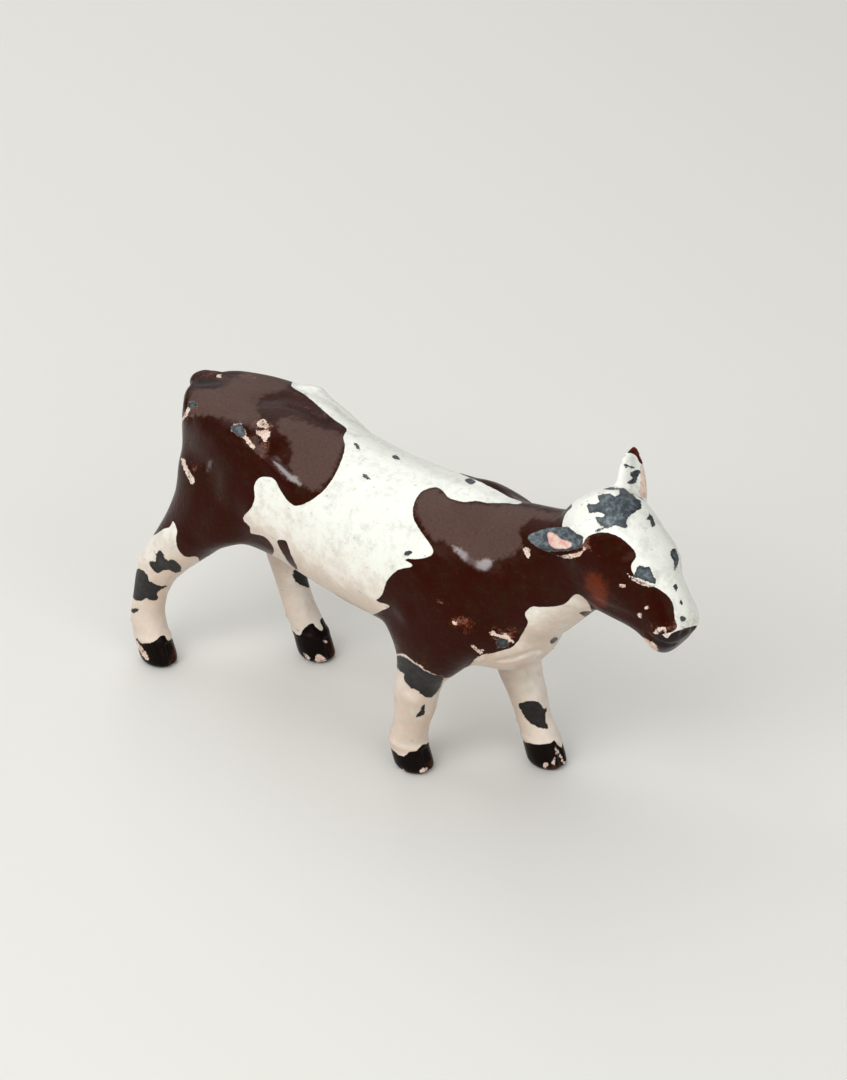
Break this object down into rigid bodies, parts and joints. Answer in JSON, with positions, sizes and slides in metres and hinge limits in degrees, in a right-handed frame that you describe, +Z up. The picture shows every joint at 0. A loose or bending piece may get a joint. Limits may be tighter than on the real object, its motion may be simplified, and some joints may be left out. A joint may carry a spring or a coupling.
{
  "type": "painted metal calf figurine",
  "caption": "Hollow-cast metal calf walking with lowered head, one ear up and one back, painted in dark and white patches and worn to the lead in places.",
  "frame": {"origin": "on the ground under the soles, at the middle of the calf's overall length and width", "axes": "+X the way the nose points, +Y the calf's left side, +Z up"},
  "size_m": [0.0521, 0.0128, 0.0297],
  "materials": {
    "coat_white": "gloss enamel, worn",
    "coat_brown": "gloss enamel, worn",
    "tail_brown": "gloss enamel, worn",
    "hoof_black": "gloss enamel, worn",
    "muzzle_black": "gloss enamel, worn",
    "eye_dark": "gloss enamel, worn"
  },
  "bodies": {
    "root": {"torso": "coat_white", "neck": "coat_brown", "head": "coat_white", "muzzle": "muzzle_black", "tail": "tail_brown", "left_ear": "coat_white", "right_ear": "coat_white", "left_eye": "eye_dark", "right_eye": "eye_dark", "hind_left_leg": "coat_white", "hind_right_leg": "coat_white", "fore_left_leg": "coat_white", "fore_right_leg": "coat_white", "hind_left_hoof": "hoof_black", "hind_right_hoof": "hoof_black", "fore_left_hoof": "hoof_black", "fore_right_hoof": "hoof_black"}
  },
  "joints": []
}
